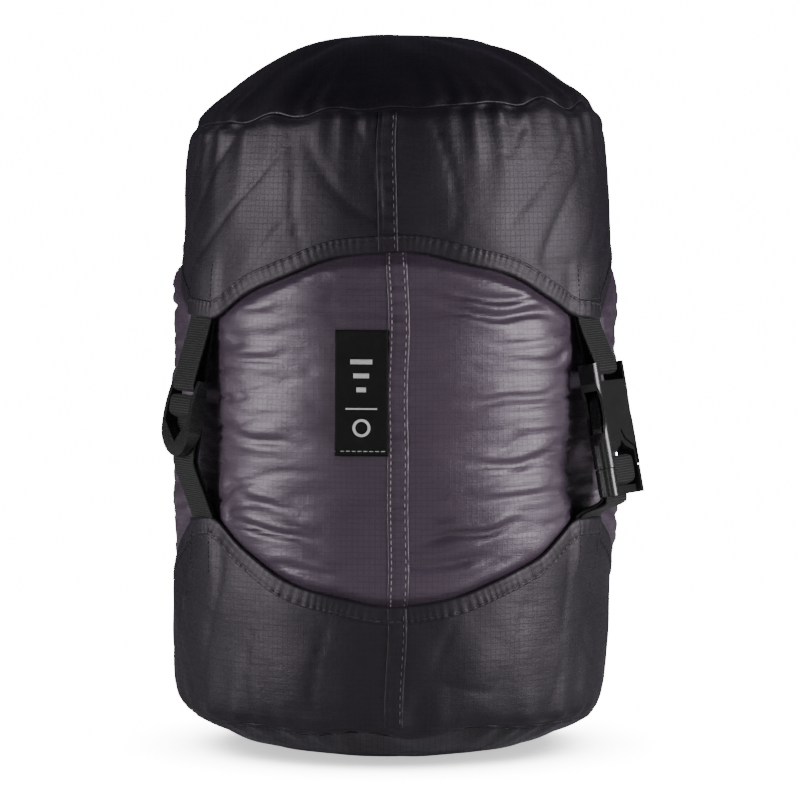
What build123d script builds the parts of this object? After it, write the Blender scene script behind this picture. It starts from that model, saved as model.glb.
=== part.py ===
from build123d import *
from math import asin, cos, degrees, radians, sin, sqrt
import os

# Filled ten-litre compression sack, standing upright. Millimetres, +Z up, front is -Y.
# The origin is on the floor, on the sack's axis. Three straps lie 120 degrees apart.

# ---- driving dimensions ----
HEIGHT = 329.5                # top of the lid's dome
FOOT_RADIUS = 42              # flat patch that rests on the floor
BASE_SEAM = (98.5, 18)        # radius and height of the seam round the base panel
LOW_BULGE = (103.6, 52)       # widest level above the base seam
HIGH_BULGE = (103.6, 246)     # widest level below the top seam
TOP_SEAM = (94.5, 292)        # radius and height of the seam round the top panel
DOME_SHOULDER = (70, 318)     # where the lid's dome turns from its steep edge to its flat crown

FABRIC = 0.8                  # one layer of coated fabric with its seam bulk
HEM_PROUD = 0.6               # the folded hem stands this much proud of the band
HEM_WIDTH = 7.5
UNDER_INNER = 99.75           # radii of the two webbing layers sewn under a tongue
UNDER_OUTER = 101.15
BAG_INSET = 1.8               # gap from the outer surface to the inner sack's panel
STRAP_FLAT = 98.7             # distance from the axis to the bottom of a strap's groove
GROOVE_HALF = 14
GROOVE_Z = (80, 285)          # up past the shoulder, so that the upper webbing can rise with the lid
LABEL_X = (-28, -3.4)         # measured along the cloth from the front
LABEL_Z = (142, 198)
SEAM_TAPE_X = (-3.2, 4.8)
SEAM_TAPE_Z = (62, 248)
SIDE_TOP_Z = 250              # where the side panel meets the neck collar
SHOULDER_Z = 258              # where the inner sack turns in to the gathered neck
NECK = (26, 288)              # radius and height of the gathered throat
CHANNEL_RADIUS = 4.2
CHANNEL_Z = 293
CORD_RADIUS = 1.25

TONGUE_HALF = 11.5            # half width of a tongue's flat tip
BOTTOM_ARCH_Z = 74.6
BOTTOM_TIP_Z = 110
LID_ARCH_Z = 232.3
LID_TIP_Z = 201
ARCH_POWER = 1.9              # how sharply an arch rises towards its tongues

WEB_WIDTH = 20
WEB = 1.2                     # webbing thickness
STRAP_ANGLES = {"right": -30, "left": -150, "back": 90}
TILT = 11                     # the fittings lean outwards at their lower ends

BUCKLE_TOP = (107.3, 180.4)   # radius and height of the buckle's upper end
BUCKLE_LENGTH = 60.3
BUCKLE_WIDTH = 32
BUCKLE_THICK = 10
SOCKET_LENGTH = 47.5

LOCK_TOP = (107.3, 172.6)     # radius and height of a ladder lock's upper end
LOCK_LENGTH = 35
LOCK_WIDTH = 27

BIG = 400


def export(node, shape):
    """Write one node under its own name."""
    shape.label = node
    export_step(shape, f"parts/{node}.step")


def filled(lines):
    """Face inside a closed run of lines and arcs."""
    return make_face([edge for line in lines for edge in line.edges()])


# ---- surfaces of revolution ----
def envelope_section(inset=0.0):
    """Whole upright section of the sack's outer surface, moved inwards by the inset."""
    right = [
        TangentArc((FOOT_RADIUS, 0), BASE_SEAM, tangent=(1, 0)),
        ThreePointArc(BASE_SEAM, (101.9, 33), LOW_BULGE),
        Line(LOW_BULGE, HIGH_BULGE),
        ThreePointArc(HIGH_BULGE, (101.0, 271), TOP_SEAM),
        ThreePointArc(TOP_SEAM, (86.5, 308), DOME_SHOULDER),
    ]
    left = [mirror(edge, about=Plane.YZ) for edge in right]
    floor = Line((-FOOT_RADIUS, 0), (FOOT_RADIUS, 0))
    crown = ThreePointArc(DOME_SHOULDER, (0, HEIGHT), (-DOME_SHOULDER[0], DOME_SHOULDER[1]))
    section = filled(right + left + [floor, crown])
    return offset(section, amount=-inset) if inset else section


def strip(low, high):
    """Right half of the section plane between two heights."""
    return Pos(BIG / 4, (low + high) / 2) * Rectangle(BIG / 2, high - low)


def turned(section):
    """Solid of revolution of a section drawn with its height along Y."""
    return revolve(Rot(90, 0, 0) * section, Axis.Z)


def skin(outside, inside, low, high):
    """Shell between two insets of the outer surface and between two heights."""
    return turned((envelope_section(outside) - envelope_section(inside)) & strip(low, high))


def patch(outside, inside, low, high, left, right):
    """Piece of such a shell on the sack's front, from one X to another along the cloth."""
    section = (envelope_section(outside) - envelope_section(inside)) & strip(low, high)
    turn = degrees(1 / (LOW_BULGE[0] - outside))
    arc = revolve(Rot(90, 0, 0) * section, Axis.Z, revolution_arc=(right - left) * turn)
    return Rot(0, 0, left * turn - 90) * arc


def band(low, high):
    """Everything between two heights."""
    return Pos(0, 0, (low + high) / 2) * Box(BIG, BIG, high - low)


def around(angle, shape):
    """Turn a shape made for a strap on the +X side to that strap's place."""
    return Rot(0, 0, angle) * shape


def strap_grooves(inset):
    """The shallow grooves that the tight straps press into the filled sack."""
    low, high = GROOVE_Z
    groove = Box(20, 2 * (GROOVE_HALF + inset), high - low + 2 * inset)
    placed = Pos(STRAP_FLAT - inset + 10, 0, (low + high) / 2) * groove
    return [around(angle, placed) for angle in STRAP_ANGLES.values()]


# ---- the caps' three-lobed hems ----
def arch_prism(apex_z, tip_z, grow):
    """Front arch opening in a cap, widened by grow along the cloth and pushed out of the axis."""
    radius = LOW_BULGE[0]
    reach = radius * radians(60) - TONGUE_HALF
    rise = tip_z - apex_z
    side = 1 if rise > 0 else -1
    points = []
    for step in range(-4, 5):
        across = reach * step / 4
        slope = rise * ARCH_POWER * abs(step / 4) ** (ARCH_POWER - 1) / reach * (1 if step > 0 else -1)
        stretch = sqrt(1 + slope * slope)
        across += side * slope * grow / stretch
        height = apex_z + rise * abs(step / 4) ** ARCH_POWER - side * grow / stretch
        points.append((radius * sin(across / radius), height))
    far_z = tip_z + side * 30
    outline = filled([
        Spline(*points),
        Line(points[-1], (points[-1][0], far_z)),
        Line((points[-1][0], far_z), (points[0][0], far_z)),
        Line((points[0][0], far_z), points[0]),
    ])
    return Pos(0, -45, 0) * Rot(90, 0, 0) * extrude(outline, amount=70)


def three_arches(apex_z, tip_z, grow=0.0):
    front = arch_prism(apex_z, tip_z, grow)
    return [around(turn, front) for turn in (0, 120, 240)]


def cap_and_hem(apex_z, tip_z, seam_z):
    """One cap's band and its folded hem, which meet face to face."""
    side = 1 if tip_z > apex_z else -1
    hem_start = tip_z - side * HEM_WIDTH
    plain = skin(0, FABRIC, min(seam_z, hem_start), max(seam_z, hem_start))
    low = min(tip_z, apex_z - side * HEM_WIDTH)
    high = max(tip_z, apex_z - side * HEM_WIDTH)
    hem = skin(-HEM_PROUD, FABRIC, low, high)
    inner = band(min(seam_z, hem_start), max(seam_z, hem_start))
    for opening in three_arches(apex_z, tip_z):
        hem -= opening
    for wide_opening in three_arches(apex_z, tip_z, HEM_WIDTH):
        plain -= wide_opening
        inner -= wide_opening
    return plain, hem - inner


# ---- straps and fittings: drawn at +X, X is radial, Z is up ----
def mitred(points, shift):
    """A path's points moved sideways, to the left of its direction."""
    moved = []
    for i, here in enumerate(points):
        before = points[max(i - 1, 0)]
        after = points[min(i + 1, len(points) - 1)]
        arriving = Vector(*here) - Vector(*before) if i else Vector(*after) - Vector(*here)
        leaving = Vector(*after) - Vector(*here) if i < len(points) - 1 else arriving
        arriving, leaving = arriving.normalized(), leaving.normalized()
        across = (arriving + leaving).normalized().rotate(Axis.Z, 90)
        stretch = shift / across.dot(arriving.rotate(Axis.Z, 90))
        moved.append((here[0] + across.X * stretch, here[1] + across.Y * stretch))
    return moved


def ribbon(points, radii):
    """Webbing that follows a path in the radial plane, with its two faces side by side."""
    sides = []
    for shift in (WEB / 2, -WEB / 2):
        bends = []
        for before, here, after, radius in zip(points, points[1:], points[2:], radii):
            arriving = Vector(here[0] - before[0], here[1] - before[1])
            leaving = Vector(after[0] - here[0], after[1] - here[1])
            bends.append(radius - shift if arriving.cross(leaving).Z > 0 else radius + shift)
        sides.append((mitred(points, shift), bends))
    edges = [FilletPolyline(*moved, radius=tuple(bends)) for moved, bends in sides]
    ends = [Line(sides[0][0][i], sides[1][0][i]) for i in (0, -1)]
    return Plane.XZ * extrude(filled(edges + ends), amount=WEB_WIDTH / 2, both=True)


def along(top, length, normal=0.0):
    """Radius and height of a point on a tilted fitting."""
    lean = radians(TILT)
    radius = top[0] + length * sin(lean) + normal * cos(lean)
    return (radius, top[1] - length * cos(lean) + normal * sin(lean))


def fitting(top, shape):
    """Place a fitting drawn flat: its length down -Z, its face towards +X, width along Y."""
    return Pos(top[0], 0, top[1]) * Rot(0, -TILT, 0) * shape


def block(low, high, width, thick, normal=0.0):
    """Box of a fitting from one length to another."""
    return Pos(normal, 0, -(low + high) / 2) * Box(thick, width, high - low)


def bar(at, width, radius, normal=0.0):
    """Round cross bar of a fitting."""
    return Pos(normal, 0, -at) * Rot(90, 0, 0) * Cylinder(radius, width)


def face_prism(outline, thick):
    """Push an outline given as (width, length) pairs through the fitting's thickness."""
    wire = Polyline(*[(w, -s) for w, s in outline], close=True)
    return Plane.YZ * extrude(make_face(wire), amount=thick / 2, both=True)


# side-release buckle: (half width, length) outlines and (start, end) lengths
SOCKET_OUTLINE = [(14.5, 0), (14.8, 9), (12.6, 16), (12.2, 24), (14, 31), (16, 37), (16, SOCKET_LENGTH)]
NOTCH = [(0, 30.8), (3.2, 35.2), (11.8, 39.6), (11.8, SOCKET_LENGTH + 1)]
ARROW = [(0, 31.3), (3.0, 35.6), (11.5, 39.9), (11.5, 49.5)]
ARROW_HOLE = [(0, 35.6), (2.4, 38.4), (10.4, 41.2), (10.4, 46.7)]
BAR_RADIUS = 1.6
STRAP_OPENING = WEB_WIDTH + 1.6
TOP_SLOT_END = 8.4
CAVITY_START = 12.4
CAVITY_WIDTH = 28.4
CAVITY_THICK = 6.6
WINDOW = (15.2, 30.8)
PLUG_START = SOCKET_LENGTH + 0.4
MID_BAR = (46.6, 52.6)
BUCKLE_CROSSING = 43.4
END_BAR = (56.4, BUCKLE_LENGTH)
PRONG_OUTLINE = [(12.3, 46.9), (12.3, 38), (10.6, 31), (10.2, 21), (8.2, 14.4), (10.4, 13.8), (12.4, 17.5),
                 (13.2, 23), (13.8, 29.6), (13.7, 46.9)]

# ladder lock
LOCK_MID = (9.4, 13.8)
LOCK_CROSSING = 7.6            # where the webbing passes through to the front
LOCK_RAIL = 2.9
LOCK_CORNER = 19
TAB_BACK = 1.4


def symmetric(outline):
    """Whole outline from its right half, which runs from the top down."""
    return outline + [(-w, s) for w, s in reversed(outline) if w > 0]


def buckle_socket():
    """Female half: strap bar at its top, hollow below with a window in each side."""
    outer = Pos(0, 0, -SOCKET_LENGTH / 2) * Box(BUCKLE_THICK, BUCKLE_WIDTH, SOCKET_LENGTH)
    outer = fillet(outer.edges().filter_by(Axis.Z), 4.2)
    shell = face_prism(symmetric(SOCKET_OUTLINE), BUCKLE_THICK) & outer
    shell -= block(CAVITY_START, SOCKET_LENGTH + 1, CAVITY_WIDTH, CAVITY_THICK)
    shell -= block(*WINDOW, BUCKLE_WIDTH + 2, CAVITY_THICK)
    shell -= block(-1, TOP_SLOT_END, STRAP_OPENING, BUCKLE_THICK + 1)
    shell -= face_prism(symmetric(NOTCH), BUCKLE_THICK + 2)
    return shell + bar(BAR_RADIUS, STRAP_OPENING + 2, BAR_RADIUS)


def buckle_plug():
    """Male half: ladder end with two bars, and the arrow frame that enters the socket."""
    end = Pos(0, 0, -(PLUG_START + BUCKLE_LENGTH) / 2)
    end *= Box(BUCKLE_THICK - 0.6, BUCKLE_WIDTH, BUCKLE_LENGTH - PLUG_START)
    end = fillet(end.edges().filter_by(Axis.Z), 4.0)
    end -= block(PLUG_START - 1, END_BAR[0], STRAP_OPENING, BUCKLE_THICK + 1)
    for side in (-1, 1):
        end -= block(END_BAR[0] - 1, BUCKLE_LENGTH + 1, STRAP_OPENING, 3, normal=3.6 * side)
    frame = face_prism(symmetric(ARROW), BUCKLE_THICK - 1.2)
    frame -= face_prism(symmetric(ARROW_HOLE), BUCKLE_THICK)
    frame -= block(ARROW_HOLE[-1][1], ARROW[-1][1] + 1, STRAP_OPENING - 0.2, BUCKLE_THICK)
    guide = block(26, 33.5, 3.4, 3.2)
    return end + frame + guide + block(*MID_BAR, STRAP_OPENING + 1, 3.2)


def buckle_prong(side):
    """Springy side arm whose head fills the socket's window."""
    return face_prism([(side * w, s) for w, s in PRONG_OUTLINE], 4.6)


def ladder_lock():
    """Strap adjuster: two bars between lens-shaped rails, and a lift tab at its lower end."""
    half_width = LOCK_WIDTH / 2
    opening = LOCK_WIDTH - 2 * LOCK_RAIL
    side_view = filled([
        ThreePointArc((1.6, 0), (3.6, -14), (1.4, -LOCK_LENGTH)),
        Line((1.4, -LOCK_LENGTH), (-0.8, -LOCK_LENGTH)),
        ThreePointArc((-0.8, -LOCK_LENGTH), (-3.2, -13), (-1.6, 0)),
        Line((-1.6, 0), (1.6, 0)),
    ])
    lens = Plane.XZ * extrude(side_view, amount=half_width, both=True)
    outline = filled([
        Line((-half_width, 0), (half_width, 0)),
        Line((half_width, 0), (half_width, -LOCK_CORNER)),
        ThreePointArc((half_width, -LOCK_CORNER), (0, -LOCK_LENGTH), (-half_width, -LOCK_CORNER)),
        Line((-half_width, -LOCK_CORNER), (-half_width, 0)),
    ])
    frame = lens & (Plane.YZ * extrude(outline, amount=10, both=True))
    frame -= block(-1, LOCK_MID[1], opening, 20)
    frame -= face_prism(symmetric([(opening / 2, LOCK_MID[1] - 1), (opening / 2, LOCK_CORNER), (0, 28.5)]), 20)
    frame -= block(LOCK_MID[0] - 1, LOCK_LENGTH + 1, opening, 10, normal=-TAB_BACK - 5)
    frame += bar(BAR_RADIUS, opening + 2, BAR_RADIUS)
    return frame + block(*LOCK_MID, opening + 2, 2.6)


def upper_strap(top):
    """Webbing loop: sewn under the lid's tongue, round the fitting's top bar and back."""
    wrap = BAR_RADIUS + WEB / 2 + 0.25
    low = BAR_RADIUS + wrap
    points = [
        (UNDER_OUTER, 221),
        (UNDER_OUTER, LID_TIP_Z - 1),
        along(top, low, wrap + 0.45),
        along(top, low, -wrap),
        (UNDER_INNER, LID_TIP_Z - 4),
        (UNDER_INNER, 221),
    ]
    return ribbon(points, (9, wrap - 0.25, wrap - 0.25, 9))


def lower_strap(top, crossing, mid_end, end):
    """Webbing from the bottom tongue, over the fitting's middle bar, and its tucked tail."""
    points = [
        (UNDER_INNER, 87),
        (UNDER_INNER, BOTTOM_TIP_Z + 3.5),
        along(top, end + 1, -5.6),
        along(top, crossing, -4.4),
        along(top, crossing, 2.45),
        along(top, mid_end + 1.9, 2.45),
        along(top, mid_end + 2.9, -2.9),
        along(top, end + 2.2, -3.4),
        (UNDER_OUTER + 0.1, BOTTOM_TIP_Z + 1.6),
        (UNDER_OUTER + 0.1, 99),
    ]
    return ribbon(points, (6, 3, 1.2, 1.2, 0.9, 0.9, 3, 4))


# ---- throat, drawcord and cord lock ----
LOCK_Y = -44
BARREL = (6.2, 284.6, 300)     # radius, bottom and top of the cord lock's barrel
BORE = (4.3, 286.2)
BUTTON_RADIUS = 4.2
BUTTON_LIFT = 5                # how far the button stands out of the barrel
SPRING = (3.2, 3.2, 0.35)      # radius, height and wire radius
CORD_GAP = 1.45                # half the distance between the two cord ends in the lock


def drawcord():
    """Cord round the throat, whose two ends turn out side by side and pass the lock."""
    ring = NECK[0] - 1.5
    bend = 4.0
    start = degrees(asin((CORD_GAP + bend) / (ring + bend)))
    hub = ring + bend
    joint_y = -hub * cos(radians(start))
    touch = (ring * sin(radians(start)), -ring * cos(radians(start)))
    middle_turn = radians(90 - start) / 2
    mid = (CORD_GAP + bend - bend * cos(middle_turn), joint_y + bend * sin(middle_turn))
    tip = (CORD_GAP, joint_y)
    end = (CORD_GAP, LOCK_Y - 10)
    right = [Line(end, tip), ThreePointArc(tip, mid, touch)]
    left = [mirror(edge, about=Plane.YZ) for edge in right]
    loop = ThreePointArc(touch, (0, ring), (-touch[0], touch[1]))
    path = Pos(0, 0, CHANNEL_Z) * Wire([edge for line in right + [loop] + left for edge in line.edges()])
    profile = Plane(origin=(end[0], end[1], CHANNEL_Z), z_dir=(0, 1, 0)) * Circle(CORD_RADIUS)
    return sweep(profile, path=path)


def drawcord_channel():
    ring = Pos(0, 0, CHANNEL_Z) * (Torus(NECK[0] - 1.5, CHANNEL_RADIUS)
                                   - Torus(NECK[0] - 1.5, CHANNEL_RADIUS - FABRIC))
    exit_slit = Pos(0, -NECK[0] - 2, CHANNEL_Z) * Box(13.6, 12, 3.4)
    return ring - exit_slit


def cord_lock_barrel():
    radius, low, high = BARREL
    barrel = Pos(0, LOCK_Y, (low + high) / 2) * Cylinder(radius, high - low)
    barrel = fillet(barrel.edges().group_by(Axis.Z)[0], 1.0)
    barrel -= Pos(0, LOCK_Y, (BORE[1] + high) / 2 + 1) * Cylinder(BORE[0], high - BORE[1] + 2)
    barrel -= Pos(0, LOCK_Y, CHANNEL_Z) * Box(6.2, 30, 3.2)
    return barrel


def cord_lock_button():
    low = BORE[1] + 4.2
    high = BARREL[2] + BUTTON_LIFT
    stem = Pos(0, LOCK_Y, (low + high) / 2) * Cylinder(BUTTON_RADIUS, high - low)
    cap = Pos(0, LOCK_Y, high) * Cylinder(BARREL[0] - 0.4, 2.2)
    cap = fillet(cap.edges().group_by(Axis.Z)[-1], 0.9)
    slot = Pos(0, LOCK_Y, CHANNEL_Z + 1.3) * Box(5.9, 30, 5.6)
    return stem + cap - slot


def cord_lock_spring():
    radius, height, wire = SPRING
    coil = Helix(pitch=height / 3, height=height, radius=radius, center=(0, 0, BORE[1] + 0.5))
    start = Plane(origin=coil @ 0, z_dir=coil % 0)
    return Pos(0, LOCK_Y, 0) * sweep(start * Circle(wire), path=coil, is_frenet=True)


# ---- the inner sack and its load ----
def bag_section(inset):
    """Whole upright section of the inner sack: base, side, shoulder, cone and throat."""
    side = LOW_BULGE[0]
    neck_top = NECK[1] + BAG_INSET
    right = [
        TangentArc((FOOT_RADIUS, 0), BASE_SEAM, tangent=(1, 0)),
        ThreePointArc(BASE_SEAM, (101.9, 33), LOW_BULGE),
        Line(LOW_BULGE, (side, SIDE_TOP_Z)),
        ThreePointArc((side, SIDE_TOP_Z), (side - 5, SHOULDER_Z + 6), (side - 18, SHOULDER_Z + 13)),
        Line((side - 18, SHOULDER_Z + 13), (NECK[0], neck_top)),
    ]
    left = [mirror(edge, about=Plane.YZ) for edge in right]
    ends = [Line((-FOOT_RADIUS, 0), (FOOT_RADIUS, 0)), Line((-NECK[0], neck_top), (NECK[0], neck_top))]
    return offset(filled(right + left + ends), amount=-BAG_INSET - inset)


def bag_skin(low, high):
    """The inner sack's cloth between two heights."""
    return turned((bag_section(0) - bag_section(FABRIC)) & strip(low, high))


def grooved_skin(low, high):
    """The same, where the cloth lines the grooves under the straps."""
    panel = bag_skin(low, high)
    whole = turned(bag_section(0) & strip(low, high))
    for groove, lined in zip(strap_grooves(0), strap_grooves(FABRIC)):
        panel = (panel - groove) + ((lined - groove) & whole)
    return panel


def packed_load():
    """What fills the sack and holds its shape."""
    load = turned(bag_section(FABRIC + 0.1) & strip(-1, NECK[1]))
    for groove in strap_grooves(FABRIC + 0.1):
        load -= groove
    return load


def main():
    os.makedirs("parts", exist_ok=True)

    # caps, base and top panels
    bottom_cap, bottom_hem = cap_and_hem(BOTTOM_ARCH_Z, BOTTOM_TIP_Z, BASE_SEAM[1])
    top_cap, lid_hem = cap_and_hem(LID_ARCH_Z, LID_TIP_Z, TOP_SEAM[1])
    export("bottom_cap", bottom_cap)
    export("bottom_cap_hem", bottom_hem)
    export("top_cap", top_cap)
    export("top_cap_hem", lid_hem)
    export("base_panel", skin(0, FABRIC, -1, BASE_SEAM[1]))
    export("top_panel", skin(0, FABRIC, TOP_SEAM[1], HEIGHT + 1))

    # seam allowances bound inside the two round seams
    export("top_seam_binding", skin(FABRIC + 0.1, FABRIC + 1.1, TOP_SEAM[1] - 7, TOP_SEAM[1]))
    export("base_seam_binding", skin(FABRIC + 0.05, BAG_INSET - 0.05, BASE_SEAM[1] - 3, BASE_SEAM[1] + 5))

    # inner sack and what fills it
    export("side_panel", grooved_skin(BASE_SEAM[1], SIDE_TOP_Z))
    throat = Pos(0, 0, NECK[1]) * Cylinder(NECK[0] - 6, 8)
    export("neck_collar", grooved_skin(SIDE_TOP_Z, NECK[1] + 1) - throat)
    export("packed_load", packed_load())

    export("side_seam_tape", patch(BAG_INSET - 0.45, BAG_INSET - 0.05, *SEAM_TAPE_Z, *SEAM_TAPE_X))
    export("size_label", patch(BAG_INSET - 0.8, BAG_INSET - 0.05, *LABEL_Z, *LABEL_X))

    # throat closure
    export("drawcord_channel", drawcord_channel())
    export("drawcord", drawcord())
    export("cord_lock_barrel", cord_lock_barrel())
    export("cord_lock_button", cord_lock_button())
    export("cord_lock_spring", cord_lock_spring())

    # straps and fittings
    for place, angle in STRAP_ANGLES.items():
        if place == "right":
            top = BUCKLE_TOP
            lower = lower_strap(top, BUCKLE_CROSSING, MID_BAR[1], END_BAR[1])
        else:
            top = LOCK_TOP
            lower = lower_strap(top, LOCK_CROSSING, LOCK_MID[1], LOCK_LENGTH)
            export(f"ladder_lock_{place}", around(angle, fitting(top, ladder_lock())))
        export(f"upper_strap_{place}", around(angle, upper_strap(top)))
        export(f"lower_strap_{place}", around(angle, lower))
    right = STRAP_ANGLES["right"]
    export("buckle_socket", around(right, fitting(BUCKLE_TOP, buckle_socket())))
    export("buckle_plug", around(right, fitting(BUCKLE_TOP, buckle_plug())))
    export("buckle_prong_front", around(right, fitting(BUCKLE_TOP, buckle_prong(-1))))
    export("buckle_prong_rear", around(right, fitting(BUCKLE_TOP, buckle_prong(1))))


main()
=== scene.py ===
from math import cos, hypot, pi, radians, sin, tau
from types import SimpleNamespace

import bpy
import numpy as np
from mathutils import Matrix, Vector
from mathutils.bvhtree import BVHTree


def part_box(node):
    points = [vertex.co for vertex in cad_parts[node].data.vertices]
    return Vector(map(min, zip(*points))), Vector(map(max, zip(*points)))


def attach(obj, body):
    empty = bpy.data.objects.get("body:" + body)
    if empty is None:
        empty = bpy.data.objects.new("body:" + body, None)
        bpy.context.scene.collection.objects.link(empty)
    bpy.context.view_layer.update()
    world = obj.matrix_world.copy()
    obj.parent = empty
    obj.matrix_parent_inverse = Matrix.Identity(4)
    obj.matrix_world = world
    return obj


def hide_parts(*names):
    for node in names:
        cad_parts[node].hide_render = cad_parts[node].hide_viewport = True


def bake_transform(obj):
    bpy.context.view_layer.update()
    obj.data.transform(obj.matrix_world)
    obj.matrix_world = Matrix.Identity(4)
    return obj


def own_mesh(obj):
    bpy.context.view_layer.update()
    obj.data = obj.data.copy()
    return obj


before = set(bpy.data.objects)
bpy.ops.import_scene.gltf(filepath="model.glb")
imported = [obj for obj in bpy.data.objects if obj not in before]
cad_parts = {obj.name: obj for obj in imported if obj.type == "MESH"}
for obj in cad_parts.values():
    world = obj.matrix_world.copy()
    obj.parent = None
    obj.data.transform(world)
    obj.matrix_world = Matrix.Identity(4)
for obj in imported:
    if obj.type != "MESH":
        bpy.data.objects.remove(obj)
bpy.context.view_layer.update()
MM = 0.001

# ---- the sack's own dimensions, in metres and radians ----
SACK_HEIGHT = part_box("top_panel")[1].z
SEAM_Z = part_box("top_panel")[0].z            # round seam between the lid's band and its dome
BASE_SEAM_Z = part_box("base_panel")[1].z
HEM_RADIUS = 103.6 * MM                      # the caps' radius in the CAD model
FOOT_RADIUS = 42 * MM
STRAPS = {"right": radians(-30), "left": radians(-150), "back": radians(90)}
FRONT = radians(-90)
TONGUE_HALF = 11.5 * MM
ARCH_POWER = 1.9
LID_ARCH_Z, LID_TIP_Z = 232.3 * MM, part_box("top_cap_hem")[0].z
BOTTOM_ARCH_Z, BOTTOM_TIP_Z = 74.6 * MM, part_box("bottom_cap_hem")[1].z
NEAR_HEM, NEAR_STITCH = 101 * MM, 102 * MM   # taken where a ray finds no cloth
SEAM_LEAN = 5.1 * MM                         # the lid's seam stands higher on the right
SEAM_TIP = 6 * MM                            # and in front
CAP_CLOTH, BODY_CLOTH, BASE_CLOTH = 0.45 * MM, 0.4 * MM, 0.5 * MM

# ---- straps and fittings; a fitting's top is a radius and a height ----
WEB_WIDTH = 20 * MM
WEB = 1.3 * MM
WEB_RIB = 1.1 * MM
TILT = radians(11)
BUCKLE_TOP = (107.3 * MM, 180.4 * MM)
LOCK_TOP = (107.3 * MM, 172.6 * MM)

# ---- label: its sides from the front's middle line, its lower and upper edge ----
LABEL_LEFT, LABEL_RIGHT, LABEL_LOW, LABEL_HIGH = -26.8 * MM, -3.0 * MM, 142 * MM, 198 * MM
LABEL_MIDDLE = -14.9                         # of the pictogram, in millimetres


# ---------------------------------------------------------------- camera, light, floor
def link(obj):
    bpy.context.collection.objects.link(obj)
    return obj


def aim(obj, target):
    obj.rotation_euler = (Vector(target) - obj.location).to_track_quat("-Z", "Y").to_euler()


def make_camera():
    camera = link(bpy.data.objects.new("camera", bpy.data.cameras.new("camera")))
    camera.data.sensor_width = 36
    camera.data.lens = 213
    distance, tilt = 2.2, radians(3.9)
    centre = Vector((2.3 * MM, 0, 160 * MM))
    camera.location = centre + Vector((0, -distance * cos(tilt), distance * sin(tilt)))
    aim(camera, centre)
    bpy.context.scene.camera = camera


def area_light(name, location, width, height, power):
    light = link(bpy.data.objects.new(name, bpy.data.lights.new(name, "AREA")))
    light.data.shape = "RECTANGLE"
    light.data.size, light.data.size_y = width, height
    light.data.energy = power
    light.location = location
    aim(light, (0, 0, 0.15))


AMBIENT = 0.025      # the world's light on the sack
BACKDROP = 16.0      # how bright the camera sees the world and the floor
SHADOW_UNDER_SACK = 0.8     # and the floor right under the sack, darkened there as a painted shadow


def make_world():
    world = bpy.data.worlds.new("studio")
    bpy.context.scene.world = world
    world.use_nodes = True
    nodes, links = world.node_tree.nodes, world.node_tree.links
    background = nodes["Background"]
    rays = nodes.new("ShaderNodeLightPath")
    strength = nodes.new("ShaderNodeMapRange")
    strength.inputs["To Min"].default_value = AMBIENT
    strength.inputs["To Max"].default_value = BACKDROP
    links.new(rays.outputs["Is Camera Ray"], strength.inputs["Value"])
    links.new(strength.outputs["Result"], background.inputs["Strength"])
    background.inputs["Color"].default_value = (1, 1, 1, 1)


def make_floor():
    mesh = bpy.data.meshes.new("floor")
    reach = 9.0
    corners = [(-reach, -reach, 0), (reach, -reach, 0), (reach, reach, 0), (-reach, reach, 0)]
    mesh.from_pydata(corners, [], [(0, 1, 2, 3)])
    floor = link(bpy.data.objects.new("floor", mesh))
    floor.location.z = -0.2 * MM
    g = Graph("floor_pale")
    seen = g.node("ShaderNodeLightPath").outputs["Is Camera Ray"]
    # painted shadow: the floor's glow dims by ambient occlusion where the sack stands close
    painted_contact_shadow = g.node("ShaderNodeAmbientOcclusion", {"Distance": 0.05}).outputs["AO"]
    floor_glow_and_shadow = g.math("MULTIPLY", g.ramp(painted_contact_shadow, 0.15, 0.85, SHADOW_UNDER_SACK, BACKDROP), seen)
    g.set(Base_Color=grey(0.86), Roughness=0.9, Emission_Color=grey(1), Emission_Strength=floor_glow_and_shadow)
    mesh.materials.append(g.material)


def make_studio():
    area_light("key_left", (-1.05, -0.42, 0.24), 0.42, 0.8, 13)
    area_light("key_right", (1.05, -0.42, 0.24), 0.42, 0.8, 17)
    area_light("front_fill", (0.0, -2.5, 0.12), 0.8, 0.5, 3.2)
    make_world()
    make_floor()


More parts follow.
